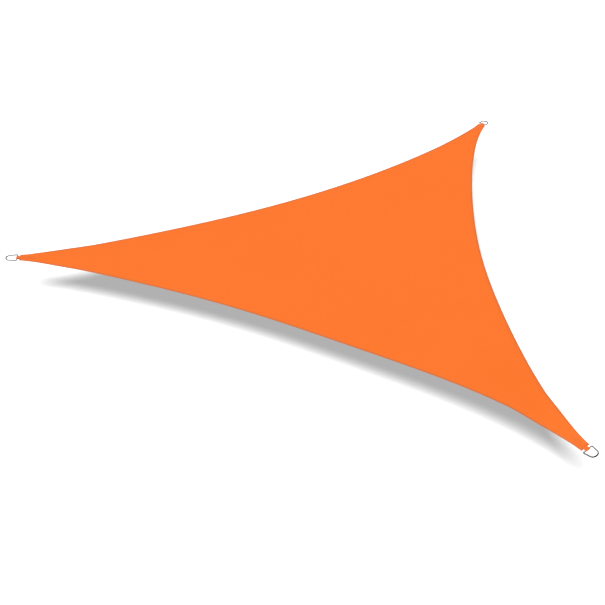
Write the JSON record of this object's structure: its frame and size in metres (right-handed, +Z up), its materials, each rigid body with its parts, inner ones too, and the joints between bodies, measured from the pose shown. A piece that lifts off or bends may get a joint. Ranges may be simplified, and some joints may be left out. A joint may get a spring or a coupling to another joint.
{
  "type": "triangular shade sail",
  "caption": "Triangular cloth shade sail with inward-curved hemmed edges and a D-shaped steel ring in a webbing loop at each corner.",
  "frame": {"origin": "middle of the eye of the front ring, where a rope holds the sail up", "axes": "+Z up, square to the spread sail; +Y from the front corner to the back corner; +X from the left corner towards the middle of the right edge"},
  "size_m": [2.7384, 3.1562, 0.0443],
  "materials": {
    "sail_polyester": "smooth woven polyester, orange, slight sheen",
    "sail_webbing": "woven polyester strap, orange",
    "ring_steel": "polished stainless steel wire"
  },
  "bodies": {
    "root": {"sail_cloth": "sail_polyester", "webbing_loop_left": "sail_webbing", "webbing_loop_back": "sail_webbing", "webbing_loop_front": "sail_webbing", "ring_left": "ring_steel", "ring_back": "ring_steel", "ring_front": "ring_steel"}
  },
  "joints": []
}
